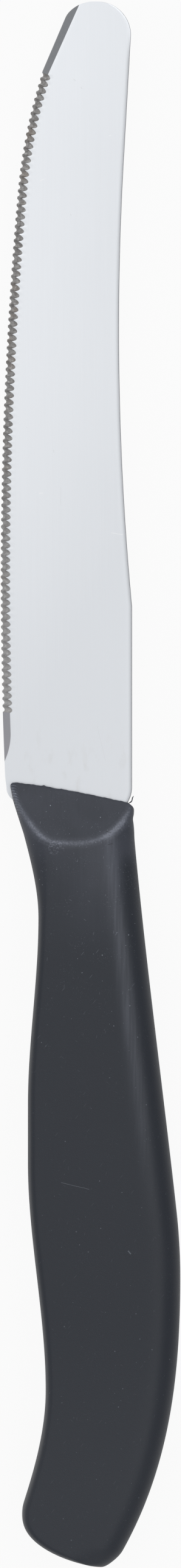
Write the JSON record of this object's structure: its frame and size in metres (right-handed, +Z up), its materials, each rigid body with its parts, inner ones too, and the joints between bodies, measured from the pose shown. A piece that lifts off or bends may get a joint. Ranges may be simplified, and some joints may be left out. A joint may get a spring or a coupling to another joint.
{
  "type": "steak knife",
  "caption": "Steak knife with a thin, round-tipped, finely serrated steel blade and a curved black plastic handle moulded over its tang.",
  "frame": {"origin": "centre of the knife's box, on the flat underside of the handle", "axes": "+Y along the knife towards the tip, +Z up through its thickness, the cutting edge towards -X"},
  "size_m": [0.0248, 0.2152, 0.0096],
  "materials": {
    "blade_steel": "satin, fine cross polishing, ground serrations",
    "handle_plastic": "satin moulded"
  },
  "bodies": {
    "root": {"blade": "blade_steel", "handle": "handle_plastic"}
  },
  "joints": []
}
